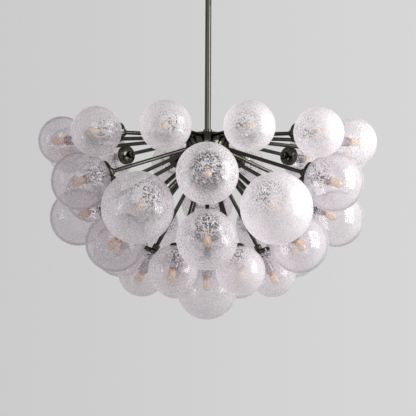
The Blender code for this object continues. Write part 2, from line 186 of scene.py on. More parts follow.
def dark_nickel():
    """Polished dark plate, a little hazy in places."""
    finish = Finish("dark_nickel")
    patches = finish.clouds(14.0, 3.0)
    haze = finish.clouds(420.0, 2.0)
    return finish.output(finish.node("ShaderNodeBsdfPrincipled", None, {
        "Base Color": finish.between((0.068, 0.065, 0.056), (0.094, 0.090, 0.079), patches),
        "Metallic": 1.0,
        "Specular Tint": (0.35, 0.34, 0.32, 1),
        "Roughness": finish.step(patches * 0.6 + haze * 0.4, 0.3, 0.7, 0.08, 0.16),
        "Normal": finish.bump(haze, 0.00003),
    }))


nickel = dark_nickel()
round_steps = 64
crisp_edge = math.radians(35)
axis_tolerance = 1e-7


def arc_points(centre_radius, centre_height, size_radius, size_height, start, end, steps):
    """Stretch of an ellipse as (radius, height) points, angles in degrees from +radius."""
    points = []
    for i in range(steps + 1):
        angle = math.radians(start + (end - start) * i / steps)
        points.append((centre_radius + size_radius * math.cos(angle),
                       centre_height + size_height * math.sin(angle)))
    return points


def smoothed(mesh, crease=crisp_edge):
    """Shades a mesh smooth, apart from edges sharper than the crease."""
    mesh.shade_smooth()
    mesh.set_sharp_from_angle(angle=crease)
    return mesh


def turned_mesh(name, outline, steps=round_steps, closed=True, crease=crisp_edge):
    """Turns (radius, height) points about Z. A closed outline makes a ring or a shell, an open one
    starts and ends on the axis."""
    shape = bmesh.new()
    rings = []
    for radius, height in outline:
        if radius < axis_tolerance:
            rings.append([shape.verts.new((0, 0, height))])
        else:
            rings.append([shape.verts.new((radius * math.cos(2 * math.pi * i / steps),
                                           radius * math.sin(2 * math.pi * i / steps), height))
                          for i in range(steps)])
    pairs = list(zip(rings, rings[1:]))
    if closed:
        pairs.append((rings[-1], rings[0]))
    for first, second in pairs:
        if len(first) == len(second) == 1:
            continue
        for i in range(steps):
            j = (i + 1) % steps
            corners = [first[i % len(first)], first[j % len(first)],
                       second[j % len(second)], second[i % len(second)]]
            shape.faces.new(list(dict.fromkeys(corners)))
    bmesh.ops.recalc_face_normals(shape, faces=shape.faces)
    mesh = bpy.data.meshes.new(name)
    shape.to_mesh(mesh)
    shape.free()
    return smoothed(mesh, crease)


def piece(name, mesh, finish, body, slot, *nodes):
    """Puts a finished mesh in the scene, tied to its body and to the CAD nodes that it stands for."""
    mesh.materials.clear()
    mesh.materials.append(finish)
    made = bpy.data.objects.new(name, mesh)
    bpy.context.scene.collection.objects.link(made)
    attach(made, body)
    if nodes:
        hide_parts(*nodes)
    return made


canopy_low, canopy_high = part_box("canopy")
canopy_radius = canopy_high.y
canopy_depth = canopy_high.z - canopy_low.z
canopy_wall = 0.0015
canopy_hole = 0.0078
canopy_floor_radius = 0.020
canopy_inner_floor_radius = 0.018
rim_roll = 0.0025
rim_height = 2.2 * rim_roll
large_round_steps = 96


def canopy_mesh():
    """Dish with a rolled rim, a flat floor with a hole, and a thin wall."""
    top, bottom = canopy_high.z, canopy_low.z
    edge = canopy_radius - rim_roll
    outer = [(edge, top)]
    outer += arc_points(edge, top - rim_roll, rim_roll, rim_roll, 90, -60, 6)
    outer += [(edge, top - rim_height)]
    bowl = arc_points(canopy_floor_radius, top - rim_height, edge - canopy_floor_radius,
                      canopy_depth - rim_height, 0, -90, 18)
    outer += bowl[1:]
    outer += [(canopy_hole, bottom)]
    inner = [(canopy_hole, bottom + canopy_wall)]
    inner += [(max(radius - canopy_wall, canopy_inner_floor_radius), height + canopy_wall)
              for radius, height in bowl[::-1]]
    inner += [(edge - canopy_wall, top)]
    return turned_mesh("canopy_dish", outer + inner, large_round_steps)


piece("canopy_dish", canopy_mesh(), nickel, "ceiling_mount", "stem_metal", "canopy")

ring_low, ring_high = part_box("canopy_ring_nut")
ring_radius = ring_high.y
ring_bore = 0.0070
ring_flutes = 40
steps_per_flute = 4
ease = 0.0006


def knurled_ring_mesh():
    """Ring nut with a grip of fine flutes round its waist."""
    mesh = turned_mesh("canopy_ring", [
        (ring_bore, ring_high.z), (ring_radius - 2 * ease, ring_high.z),
        (ring_radius - ease, ring_high.z - ease),
        (ring_radius - ease, ring_high.z - 3 * ease), (ring_radius, ring_high.z - 4 * ease),
        (ring_radius, ring_low.z + 4 * ease), (ring_radius - ease, ring_low.z + 3 * ease),
        (ring_radius - ease, ring_low.z + ease), (ring_radius - 2 * ease, ring_low.z),
        (ring_bore, ring_low.z)], ring_flutes * steps_per_flute)
    for vertex in mesh.vertices:
        radius = math.hypot(vertex.co.x, vertex.co.y)
        if radius > ring_radius - 0.5 * ease:
            angle = math.atan2(vertex.co.y, vertex.co.x)
            scale = 1 - 0.5 * ease * (1 - math.cos(ring_flutes * angle)) / radius
            vertex.co.x *= scale
            vertex.co.y *= scale
    return mesh


piece("canopy_ring", knurled_ring_mesh(), nickel, "ceiling_mount", "stem_metal", "canopy_ring_nut")

fork_low, fork_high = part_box("swivel_fork")
tongue_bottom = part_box("swivel_tongue")[0].z
fork_radius = 0.0165
fork_height = 0.011
fork_bore = 0.0069
knuckle_radius = 0.009
knuckle_half_width = 0.0112
ear_inner = 0.0115
ear_outer = 0.0155
pin_height = fork_low.z + knuckle_radius
pin_radius = 0.003
pin_bore = 0.0032
pin_head_radius = 0.0055
pin_head_gap = 0.0003
strap_bite = 0.002
small_round_steps = 48
ferrule_radius = 0.014
ferrule_height = 0.020
ferrule_bore = 0.0098
ferrule_bore_depth = 0.0138
ferrule_lip = 0.0055


def joined_mesh(name, parts):
    """One mesh of several parts."""
    whole = bmesh.new()
    for part in parts:
        whole.from_mesh(part)
    mesh = bpy.data.meshes.new(name)
    whole.to_mesh(mesh)
    whole.free()
    return smoothed(mesh)


def strap_mesh(flat_height, start_x, end_x):
    """Milled strap, bored for the pin: one end is flat, the other a half circle about the pin."""
    up = 1 if flat_height < pin_height else -1
    depth = abs(flat_height - pin_height)
    shape = bmesh.new()
    rows = []
    for x, inset in ((start_x, ease), (start_x + ease, 0), (end_x - ease, 0), (end_x, ease)):
        radius = knuckle_radius - inset
        outline = arc_points(0, 0, radius, radius, 0, 180, 24)
        outline += [(-radius, -depth * i / 4) for i in (1, 2, 3, 4)]
        outline += [(-radius + radius * i / 3, -depth) for i in range(1, 7)]
        outline += [(radius, -depth * i / 4) for i in (3, 2, 1)]
        rows.append([shape.verts.new((x, y, pin_height + up * z)) for y, z in outline])
    axis = Vector((0, 0, pin_height))
    for x, row in ((end_x, rows[-1]), (start_x, rows[0])):
        ways = [(Vector((0, corner.co.y, corner.co.z)) - axis).normalized() for corner in row]
        rows.append([shape.verts.new(axis + Vector((x, 0, 0)) + way * pin_bore) for way in ways])
    for first, second in zip(rows, rows[1:] + rows[:1]):
        for i in range(len(first)):
            j = (i + 1) % len(first)
            shape.faces.new((first[i], first[j], second[j], second[i]))
    bmesh.ops.recalc_face_normals(shape, faces=shape.faces)
    mesh = bpy.data.meshes.new("strap")
    shape.to_mesh(mesh)
    shape.free()
    return mesh


def fork_mesh():
    """Bored body that turns on the nipple, with an ear on each side of the knuckle."""
    top, bottom = fork_high.z, fork_high.z - fork_height
    body = turned_mesh("fork_body", [
        (fork_bore, top), (fork_radius - 2 * ease, top), (fork_radius, top - 2 * ease),
        (fork_radius, bottom + 2 * ease), (fork_radius - 2 * ease, bottom), (fork_bore, bottom)])
    ears = [strap_mesh(bottom + strap_bite, ear_inner, ear_outer),
            strap_mesh(bottom + strap_bite, -ear_outer, -ear_inner)]
    return joined_mesh("fork", [body] + ears)


def tongue_mesh():
    """Knuckle on a ferrule that has a fine groove above its mouth."""
    top, bottom = tongue_bottom + ferrule_height, tongue_bottom
    bore_top = bottom + ferrule_bore_depth
    ferrule = turned_mesh("ferrule", [
        (0, top), (ferrule_radius - 2 * ease, top), (ferrule_radius, top - 2 * ease),
        (ferrule_radius, bottom + ferrule_lip), (ferrule_radius - ease, bottom + ferrule_lip - ease),
        (ferrule_radius - ease, bottom + ferrule_lip - 2 * ease),
        (ferrule_radius, bottom + ferrule_lip - 3 * ease), (ferrule_radius, bottom + 2 * ease),
        (ferrule_radius - 2 * ease, bottom), (ferrule_bore, bottom), (ferrule_bore, bore_top),
        (0, bore_top)], closed=False)
    knuckle = strap_mesh(top - strap_bite, -knuckle_half_width, knuckle_half_width)
    return joined_mesh("tongue", [ferrule, knuckle])


def pin_mesh():
    """Pin with a domed head."""
    low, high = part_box("swivel_pin")
    head = ear_outer + pin_head_gap
    mesh = turned_mesh("pin", [(0, low.x), (pin_radius - ease, low.x), (pin_radius, low.x + ease),
                               (pin_radius, head)]
                       + arc_points(0, head, pin_head_radius, high.x - head, 0, 90, 10)[:-1]
                       + [(0, high.x)], small_round_steps, closed=False)
    mesh.transform(Matrix.Translation((0, 0, pin_height)) @ Matrix.Rotation(math.pi / 2, 4, "Y"))
    return mesh


piece("fork", fork_mesh(), nickel, "swivel", "stem_metal", "swivel_fork")
piece("tongue", tongue_mesh(), nickel, "fixture", "stem_metal", "swivel_tongue")
piece("pin", pin_mesh(), zinc, "swivel", "zinc_steel", "swivel_pin")


# Stem and its collar
#
# Straight drawn brass tube, 19 mm across, plated like the rest. It screws into the swivel's ferrule
# above and ends in a turned collar on the hub's flat top.

stem_low, stem_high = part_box("stem_tube")
stem_radius = 0.0095
stem_wall = 0.0015
collar_low, collar_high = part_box("stem_collar")
stem_collar_radius = 0.0145
stem_collar_gap = 0.0002
stem_collar_round = 0.0022
stem_collar_step = 0.0004
stem_collar_groove = 0.0012
stem_collar_foot = 0.0020
stem_collar_bevel = 0.0005


def stem_mesh():
    return turned_mesh("stem", [
        (stem_radius, stem_high.z), (stem_radius, stem_low.z),
        (stem_radius - stem_wall, stem_low.z), (stem_radius - stem_wall, stem_high.z)])


def stem_collar_mesh():
    """Collar with a round shoulder, and a groove over its foot."""
    bore = stem_radius + stem_collar_gap
    top, bottom = collar_high.z, collar_low.z
    foot = bottom + stem_collar_foot
    shoulder = stem_collar_radius - stem_collar_round
    groove = stem_collar_radius - stem_collar_groove
    return turned_mesh("stem_foot", [
        (bore, top), (shoulder, top)]
        + arc_points(shoulder, top - stem_collar_round, stem_collar_round - stem_collar_step,
                     stem_collar_round, 90, 0, 5)
        + [(stem_collar_radius - stem_collar_step, foot + 3 * stem_collar_bevel),
           (groove, foot + 2 * stem_collar_bevel), (groove, foot + stem_collar_bevel),
           (stem_collar_radius, foot), (stem_collar_radius, bottom), (bore, bottom)])


piece("stem", stem_mesh(), nickel, "fixture", "stem_metal", "stem_tube")
piece("stem_foot", stem_collar_mesh(), nickel, "fixture", "stem_metal", "stem_collar")


# Ball hub
#
# Two spun half shells of plated brass that meet in a fine seam a little above the middle. The upper
# one is cut off flat, and the stem's collar stands there. The arms pass through both.

hub_radius = 0.068
hub_wall = 0.0025
hub_hole = 0.0071
hub_flat_height = 0.044
hub_edge_ease = 0.003
hub_edge_drop = 0.0004
hub_edge_degrees = 1.2
seam_edge_degrees = 0.3
seam_height = 0.004
seam_width = 0.0004
seam_depth = 0.0005
hub_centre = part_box("hub_cover_upper")[1].z - hub_flat_height


def shell_points(radius, start, end, steps):
    """Points of a circle about the ball's centre, by angle from +Z in degrees."""
    angles = [math.radians(start + (end - start) * i / steps) for i in range(steps + 1)]
    return [(radius * math.sin(angle), radius * math.cos(angle) + hub_centre) for angle in angles]


def hub_upper_mesh():
    """Half shell cut off flat above, with an eased edge."""
    inner_radius = hub_radius - hub_wall
    flat_angle = math.degrees(math.acos(hub_flat_height / hub_radius))
    inner_angle = math.degrees(math.acos((hub_flat_height - hub_wall) / inner_radius))
    edge = math.degrees(math.acos((seam_height + seam_width) / hub_radius))
    inner_edge = math.degrees(math.acos((seam_height + seam_width) / inner_radius))
    flat = hub_radius * math.sin(math.radians(flat_angle))
    top = hub_centre + hub_flat_height
    outline = [(hub_hole, top), (flat - hub_edge_ease, top),
               (flat - 0.3 * hub_edge_ease, top - hub_edge_drop)]
    outline += shell_points(hub_radius, flat_angle + hub_edge_degrees, edge - seam_edge_degrees, 20)
    outline += [(hub_radius - seam_depth, hub_centre + seam_height + seam_width)]
    outline += shell_points(inner_radius, inner_edge, inner_angle, 20)
    outline += [(hub_hole, top - hub_wall)]
    return turned_mesh("hub_upper", outline, large_round_steps)


def hub_lower_mesh():
    """Half shell with a hole at the bottom, where the lowest arm comes out."""
    inner_radius = hub_radius - hub_wall
    edge = math.degrees(math.acos(seam_height / hub_radius))
    inner_edge = math.degrees(math.acos(seam_height / inner_radius))
    hole = 180 - math.degrees(math.asin(hub_hole / hub_radius))
    outline = [(hub_radius - seam_depth, hub_centre + seam_height)]
    outline += shell_points(hub_radius, edge + seam_edge_degrees, hole, 36)
    outline += shell_points(inner_radius, hole, inner_edge, 36)
    return turned_mesh("hub_lower", outline, large_round_steps)


piece("hub_upper", hub_upper_mesh(), nickel, "fixture", "hub_metal", "hub_cover_upper")
piece("hub_lower", hub_lower_mesh(), nickel, "fixture", "hub_metal", "hub_cover_lower")


# Arms, with their collars and caps
#
# Straight 12 mm brass tubes, plated in dark nickel, that leave the hub like spokes, ring under ring.
# A turned collar joins each to a spun cap that closes a globe: a shallow dish, or on the top ring a
# deeper bell. Geometry Nodes copy one spoke round the hub for each ring.

cluster_radius = 0.4601
hub_drop_in_cluster = 0.014
cluster_centre = hub_centre + hub_drop_in_cluster
arm_radius = 0.006
arm_start = 0.050
collar_radius = 0.011
collar_length = 0.016
spoke_steps = 32
collar_round = 0.0016
collar_groove = 0.0008
collar_overlap = 0.0004
cap_metal = 0.0012
cap_gap = 0.0006
cap_edge_ease = 0.0002
mouth_radius = 0.024
bell_cap = dict(cap_radius=0.0305, cap_depth=0.016, cap_rise=0.010)
dish_cap = dict(cap_radius=0.038, cap_depth=0.009, cap_rise=0.006)
small_dish_cap = dict(cap_radius=0.031, cap_depth=0.009, cap_rise=0.006)
middle_line = dict(name="middle", elevation=-30.45, reach=1.015, aim=0.00204, **dish_cap)

# One row for each ring, or part of a ring, of like spokes. Azimuths and elevations are in degrees.
# Aim is the height over the ball's centre where the arms' lines meet the hub's axis, reach is a share
# of the cluster's radius, and sleeve is how far the lampholder goes into the globe.
RINGS = (
    dict(name="top", globes=range(1, 13), first=15, step=30, elevation=-1.4, reach=1.0,
         diameter=0.150, aim=0.0340, sleeve=0.068, **bell_cap),
    dict(name="upper", globes=range(1, 7), first=0, step=60, elevation=-18.45, reach=1.0,
         diameter=0.180, aim=0.01428, sleeve=0.080, **dish_cap),
    dict(globes=(1, 3), first=30, step=120, diameter=0.213, sleeve=0.073, **middle_line),
    dict(globes=(4, 6), first=210, step=120, diameter=0.213, sleeve=0.073, **middle_line),
    dict(globes=(2, 5), first=90, step=180, diameter=0.180, sleeve=0.052, **middle_line),
    dict(name="lower", globes=range(1, 7), first=0, step=60, elevation=-45.5, reach=0.996,
         diameter=0.180, aim=-0.00816, sleeve=0.079, **dish_cap),
    dict(name="inner", globes=range(1, 7), first=30, step=60, elevation=-63.7, reach=0.993,
         diameter=0.150, aim=-0.01632, sleeve=0.075, **small_dish_cap),
    dict(name="bottom", globes=(1,), first=0, step=0, elevation=-90.0, reach=1.0,
         diameter=0.190, aim=-0.04896, sleeve=0.060, **dish_cap),
)
ring_names = list(dict.fromkeys(ring["name"] for ring in RINGS))


def spoke_line(ring):
    """Length from the hub's axis to the globe's centre, and the spoke's tilt above level."""
    elevation = math.radians(ring["elevation"])
    reach = ring["reach"] * cluster_radius
    out = reach * math.cos(elevation)
    rise = cluster_centre + reach * math.sin(elevation) - hub_centre - ring["aim"]
    return math.hypot(out, rise), math.atan2(rise, out)


def mouth_distance(ring):
    """Distance along the spoke from the hub's axis to the plane of the globe's mouth."""
    return spoke_line(ring)[0] - math.sqrt((ring["diameter"] / 2) ** 2 - mouth_radius ** 2)


def cap_rim_distance(ring):
    """Distance along the spoke from the hub's axis to the cap's edge, just clear of the globe."""
    radius, cap_radius = ring["diameter"] / 2, ring["cap_radius"]
    return spoke_line(ring)[0] - math.sqrt(radius ** 2 - cap_radius ** 2) - cap_gap


def spoke_frame(ring, azimuth):
    """Turns +Z to a spoke's line, with the origin where the line meets the hub's axis."""
    return (Matrix.Translation((0, 0, hub_centre + ring["aim"]))
            @ Matrix.Rotation(math.radians(azimuth), 4, "Z")
            @ Matrix.Rotation(math.pi / 2 - spoke_line(ring)[1], 4, "X"))


def spokes_tree():
    """Geometry Nodes that copy a piece, drawn along +Z, round the hub."""
    tree = bpy.data.node_groups.new("ring_of_spokes", "GeometryNodeTree")
    sockets = {}
    tree.interface.new_socket("Geometry", in_out="OUTPUT", socket_type="NodeSocketGeometry")
    for label, kind in (("Piece", "Object"), ("Count", "Int"), ("First azimuth", "Float"),
                        ("Azimuth step", "Float"), ("Tilt", "Float"), ("Height", "Float"),
                        ("Finish", "Material")):
        socket = tree.interface.new_socket(label, in_out="INPUT", socket_type="NodeSocket" + kind)
        sockets[label] = socket.identifier

    def node(kind, settings=None, inputs=None):
        made = tree.nodes.new(kind)
        for key, value in (settings or {}).items():
            setattr(made, key, value)
        for key, value in (inputs or {}).items():
            if isinstance(value, bpy.types.NodeSocket):
                tree.links.new(value, made.inputs[key])
            else:
                made.inputs[key].default_value = value
        return made

    given = node("NodeGroupInput").outputs
    start = node("ShaderNodeCombineXYZ", None, {"Z": given["Height"]})
    places = node("GeometryNodeMeshLine", {"mode": "OFFSET"}, {
        "Count": given["Count"], "Start Location": start.outputs[0], "Offset": (0, 0, 0)})
    turn = node("ShaderNodeMath", {"operation": "MULTIPLY_ADD"}, {
        0: node("GeometryNodeInputIndex").outputs[0], 1: given["Azimuth step"],
        2: given["First azimuth"]})
    angles = node("ShaderNodeCombineXYZ", None, {"X": given["Tilt"], "Z": turn.outputs[0]})
    rotation = node("FunctionNodeEulerToRotation", None, {"Euler": angles.outputs[0]})
    shape = node("GeometryNodeObjectInfo", None, {"Object": given["Piece"]})
    copies = node("GeometryNodeInstanceOnPoints", None, {
        "Points": places.outputs["Mesh"], "Instance": shape.outputs["Geometry"],
        "Rotation": rotation.outputs[0]})
    real = node("GeometryNodeRealizeInstances", None, {"Geometry": copies.outputs["Instances"]})
    done = node("GeometryNodeSetMaterial", None, {
        "Geometry": real.outputs["Geometry"], "Material": given["Finish"]})
    node("NodeGroupOutput", None, {"Geometry": done.outputs["Geometry"]})
    return tree, sockets


ring_tree, ring_sockets = spokes_tree()


def ringed(name, ring_name, make_mesh, finish, slot, *nodes):
    """One piece with a copy of a spoke's mesh for every globe of a ring."""
    spokes = []
    for ring in RINGS:
        if ring["name"] != ring_name:
            continue
        pattern = bpy.data.objects.new(name + "_pattern", make_mesh(ring))
        carrier = bpy.data.objects.new(name + "_carrier", bpy.data.meshes.new(name + "_carrier"))
        for helper in (pattern, carrier):
            bpy.context.scene.collection.objects.link(helper)
        step = carrier.modifiers.new("spokes", "NODES")
        step.node_group = ring_tree
        for label, value in (("Piece", pattern), ("Count", len(ring["globes"])),
                             ("First azimuth", math.radians(ring["first"])),
                             ("Azimuth step", math.radians(ring["step"])),
                             ("Tilt", math.pi / 2 - spoke_line(ring)[1]),
                             ("Height", hub_centre + ring["aim"]), ("Finish", finish)):
            step[ring_sockets[label]] = value
        graph = bpy.context.evaluated_depsgraph_get()
        spokes.append(bpy.data.meshes.new_from_object(carrier.evaluated_get(graph)))
        for helper in (pattern, carrier):
            bpy.data.objects.remove(helper)
    return piece(name, joined_mesh(name, spokes), finish, "fixture", slot, *nodes)


def arm_mesh(ring):
    """Tube from inside the hub to its collar, which has a fine groove."""
    end = cap_rim_distance(ring) - ring["cap_depth"] - ring["cap_rise"] + collar_overlap
    begin = end - collar_overlap - collar_length
    groove = begin + 0.3 * collar_length
    floor = collar_radius - collar_groove
    return turned_mesh("arm", [
        (0, arm_start), (arm_radius, arm_start), (arm_radius, begin)]
        + arc_points(collar_radius - collar_round, begin + collar_round, collar_round, collar_round,
                     -90, 0, 4)
        + [(collar_radius, groove), (floor, groove + 0.5 * collar_groove),
           (floor, groove + 1.5 * collar_groove), (collar_radius, groove + 2 * collar_groove),
           (collar_radius, end), (0, end)], spoke_steps, closed=False)


def cap_mesh(ring):
    """Spun dish or bell with a thin wall and a rolled edge, hollow towards the globe."""
    rim = cap_rim_distance(ring)
    shoulder = rim - ring["cap_depth"]
    wide = ring["cap_radius"]
    outer = arc_points(0, shoulder, wide, ring["cap_rise"], -90, 0, 14)
    inner = [(max(radius - cap_metal, 0), height + cap_metal) for radius, height in outer]
    edge = [(wide, rim - cap_metal), (wide - cap_edge_ease, rim - 2 * cap_edge_ease),
            (wide - 0.5 * cap_metal, rim), (wide - cap_metal, rim)]
    return turned_mesh("cap", outer + edge + inner[::-1], small_round_steps, closed=False)


for ring_name in ring_names:
    arms_node = "arm_bottom" if ring_name == "bottom" else "arms_" + ring_name
    ringed("tubes_" + ring_name, ring_name, arm_mesh, nickel, "arm_metal", arms_node)
    ringed("caps_" + ring_name, ring_name, cap_mesh, nickel, "arm_metal")


# Lampholders
#
# A dark plated sleeve stands in each cap and reaches into the globe. A threaded shade ring on it
# clamps the globe's lip to the cap, and a copper ring shows at its end, where the bulb screws in.

sleeve_radius = 0.014
sleeve_edge = 0.001
thread_turns = 9
thread_pitch = 0.0022
thread_depth = 0.0007
thread_start = 0.003
shade_ring_radius = 0.027
shade_ring_start = 0.0036
shade_ring_plate = 0.003
shade_ring_height = 0.007
shade_ring_gap = 0.0003
shade_ring_edge = 0.0022
shade_ring_slope = 0.002
end_ring_radius = 0.0105
end_ring_length = 0.008
end_ring_ease = 0.0008
end_ring_foot = 0.0006
end_ring_foot_inset = 0.0004


def sleeve_end(ring):
    """Distance along the spoke from the hub's axis to the lampholder's end."""
    return mouth_distance(ring) + ring["sleeve"]


def sleeve_mesh(ring):
    """Round sleeve with a coarse thread near the globe's mouth."""
    base = cap_rim_distance(ring) - ring["cap_depth"]
    end = sleeve_end(ring) - end_ring_length
    outline = [(0, base), (sleeve_radius, base)]
    start = mouth_distance(ring) + thread_start
    for i in range(thread_turns):
        low = start + i * thread_pitch
        outline += [(sleeve_radius, low), (sleeve_radius - thread_depth, low + 0.3 * thread_pitch),
                    (sleeve_radius - thread_depth, low + 0.6 * thread_pitch)]
    outline += [(sleeve_radius, start + thread_turns * thread_pitch),
                (sleeve_radius, end - sleeve_edge), (sleeve_radius - sleeve_edge, end), (0, end)]
    return turned_mesh("sleeve", outline, spoke_steps, closed=False)


def shade_ring_mesh(ring):
    """Flat ring with a short neck that turns on the sleeve's thread."""
    low = mouth_distance(ring) + shade_ring_start
    bore = sleeve_radius + shade_ring_gap
    neck = sleeve_radius + shade_ring_plate
    return turned_mesh("shade_ring", [
        (bore, low), (shade_ring_radius, low), (shade_ring_radius, low + shade_ring_edge),
        (shade_ring_radius - shade_ring_slope, low + shade_ring_plate), (neck, low + shade_ring_plate),
        (neck, low + shade_ring_height), (bore, low + shade_ring_height)], small_round_steps)


def end_ring_mesh(ring):
    """Short ring with eased edges that the bulb screws into."""
    end = sleeve_end(ring)
    low = end - end_ring_length
    return turned_mesh("end_ring", [
        (0, low), (end_ring_radius - end_ring_foot_inset, low), (end_ring_radius, low + end_ring_foot),
        (end_ring_radius, end - end_ring_ease), (end_ring_radius - end_ring_ease, end),
        (0, end)], spoke_steps, closed=False)


def socket_metal():
    """Dark plate, a little lighter than the arms."""
    finish = Finish("socket_metal")
    cloud = finish.clouds(60.0)
    return finish.output(finish.node("ShaderNodeBsdfPrincipled", None, {
        "Base Color": finish.between((0.24, 0.23, 0.235), (0.38, 0.37, 0.375), cloud),
        "Metallic": 1.0,
        "Specular Tint": (0.35, 0.34, 0.34, 1),
        "Roughness": finish.step(cloud, 0.3, 0.7, 0.10, 0.20),
        "Normal": finish.bump(finish.clouds(700.0), 0.00004),
    }))


def painted_glint_metal():
    """Dark metal with white flecks painted into its colour: painted glints for cut threads and edges
    catching light through the rippled neck.
    """
    finish = Finish("painted_glint_metal")
    painted_glints = finish.step(finish.clouds(210.0, 2.0, 0.6), 0.49, 0.55)
    return finish.output(finish.node("ShaderNodeBsdfPrincipled", None, {
        "Base Color": finish.between((0.035, 0.034, 0.036), (0.95, 0.94, 0.96), painted_glints),
        "Metallic": 1.0,
        "Roughness": finish.step(painted_glints, 0.0, 1.0, 0.15, 0.35),
        "Normal": finish.bump(painted_glints, 0.0006),
    }))


def copper_ring():
    """Copper plate with a soft shine."""
    finish = Finish("copper_ring")
    cloud = finish.clouds(120.0)
    return finish.output(finish.node("ShaderNodeBsdfPrincipled", None, {
        "Base Color": finish.between((0.56, 0.25, 0.13), (0.70, 0.36, 0.20), cloud),
        "Metallic": 1.0,
        "Roughness": finish.step(cloud, 0.3, 0.7, 0.25, 0.42),
        "Normal": finish.bump(finish.clouds(900.0), 0.00003),
    }))


socket_finish = socket_metal()
# The shade rings carry painted glints: white flecks in their colour beside black.
painted_glint_finish = painted_glint_metal()
ring_finish = copper_ring()
for ring_name in ring_names:
    ringed("sleeves_" + ring_name, ring_name, sleeve_mesh, socket_finish, "arm_metal")
    ringed("shade_rings_" + ring_name, ring_name, shade_ring_mesh, painted_glint_finish, "arm_metal")
    ringed("end_rings_" + ring_name, ring_name, end_ring_mesh, ring_finish, "arm_metal")


# Bulbs
#
# Slim tubular bulbs, unlit: a drawn tube of amber-tinted glass with a round end. Inside, four pale
# filament strips stand round a flared glass stem.

bulb_radius = 0.0125
bulb_length = 0.036
bulb_gap = 0.0002
bulb_base_ease = 0.002
bulb_stem_radius = 0.0045
bulb_stem_gap = 0.0006
flare_gap = 0.003
flare_lip = 0.002
flare_height = 0.006
pinch_height = 0.016
rod_radius = 0.0012
rod_tip_radius = 0.0009
rod_tip = 0.001
rod_gap = 0.009
filament_count = 4
filament_radius = 0.0011
filament_circle = 0.0062
filament_clearance = 0.011
filament_tip = 0.001


def bulb_mesh(ring):
    """Tube that narrows a little at its base and ends in a half ball."""
    base = sleeve_end(ring) + bulb_gap
    shoulder = base + bulb_length - bulb_radius
    return turned_mesh("bulb", [
        (0, base), (bulb_radius - bulb_base_ease, base),
        (bulb_radius - 0.25 * bulb_base_ease, base + bulb_base_ease),
        (bulb_radius, base + 2 * bulb_base_ease)]
        + arc_points(0, shoulder, bulb_radius, bulb_radius, 0, 90, 10), spoke_steps, closed=False)


def bulb_stem_mesh(ring):
    """Flared glass stem, pinched to a rod at its top, and the strips that stand round it."""
    base = sleeve_end(ring) + bulb_stem_gap
    tip = base + bulb_length
    flare = bulb_radius - flare_gap
    parts = [turned_mesh("bulb_stem", [
        (0, base), (flare, base), (flare - flare_lip, base + flare_lip),
        (bulb_stem_radius, base + flare_height), (bulb_stem_radius, base + 2 * flare_height),
        (rod_radius, base + pinch_height), (rod_tip_radius, tip - rod_gap - rod_tip),
        (0, tip - rod_gap)], 16, closed=False)]
    low, high = base + filament_clearance, tip - filament_clearance
    for i in range(filament_count):
        strip = turned_mesh("strip", [
            (0, low), (filament_radius, low + filament_tip),
            (filament_radius, high - filament_tip), (0, high)], 8, closed=False)
        turn = 2 * math.pi * (i + 0.5) / filament_count
        strip.transform(Matrix.Translation((filament_circle * math.cos(turn),
                                            filament_circle * math.sin(turn), 0)))
        parts.append(strip)
    return joined_mesh("bulb_stem", parts)


def passing_light(finish, colour):
    """Lets light through and tints it."""
    return finish.node("ShaderNodeBsdfTransparent", None, {"Color": (*colour, 1)})


def see_through(finish, passing, relief, gloss_roughness, gloss=0.04):
    """Thin clear glass: it bends nothing, and shines more towards its rim."""
    shine = finish.node("ShaderNodeBsdfAnisotropic", None, {
        "Color": (1, 1, 1, 1), "Roughness": gloss_roughness, "Normal": relief})
    edge = finish.node("ShaderNodeLayerWeight", None, {"Blend": 0.5, "Normal": relief}, "Facing")
    return finish.mixed(edge ** 3 * 0.28 + gloss, passing, shine)


def amber_glass():
    """Clear amber glass, deeper in colour towards its edge."""
    finish = Finish("amber_glass")
    cloud = finish.clouds(60.0)
    relief = finish.bump(cloud, 0.0004)
    edge = finish.node("ShaderNodeLayerWeight", None, {"Blend": 0.5}, "Facing")
    clear = see_through(finish, passing_light(finish, (0.98, 0.91, 0.83)), relief, 0.05)
    amber = finish.between((1.0, 0.84, 0.66), (0.74, 0.40, 0.18), finish.step(edge, 0.10, 0.75))
    tinted = finish.node("ShaderNodeBsdfPrincipled", None, {
        "Base Color": amber,
        "Roughness": 0.12,
        "Coat Weight": 1.0,
        "Coat Roughness": 0.03,
        "Normal": relief,
    })
    cover = finish.step(edge * 0.7 + cloud * 0.3, 0.1, 0.75, 0.12, 0.90)
    return finish.output(finish.mixed(cover, clear, tinted))


def filament_cream():
    """Pale coating of the filament strips."""
    finish = Finish("filament_cream")
    cloud = finish.clouds(300.0)
    return finish.output(finish.node("ShaderNodeBsdfPrincipled", None, {
        "Base Color": finish.between((0.86, 0.74, 0.58), (0.96, 0.90, 0.78), cloud),
        "Roughness": finish.step(cloud, 0.3, 0.7, 0.3, 0.5),
    }))


bulb_finish = amber_glass()
strip_finish = filament_cream()
for ring_name in ring_names:
    ringed("bulbs_" + ring_name, ring_name, bulb_mesh, bulb_finish, "seeded_glass")
    ringed("bulb_stems_" + ring_name, ring_name, bulb_stem_mesh, strip_finish, "seeded_glass")


# Glass globes
#
# Mouth-blown globes of clear glass full of seeds and fine bubbles, faintly violet. No two are alike:
# some are dense with seeds, others nearly clear. Each has a rolled lip that its cap covers.

glass_wall = 0.003
globe_trim = 0.0004
blown_wave = 0.0004
blown_wave_scale = 14.0
mouth_taper = 0.001
mouth_ease_degrees = 0.6
lip_roll = 0.0012
lip_drop = 0.0002
globe_rows = 34
globe_steps = 72

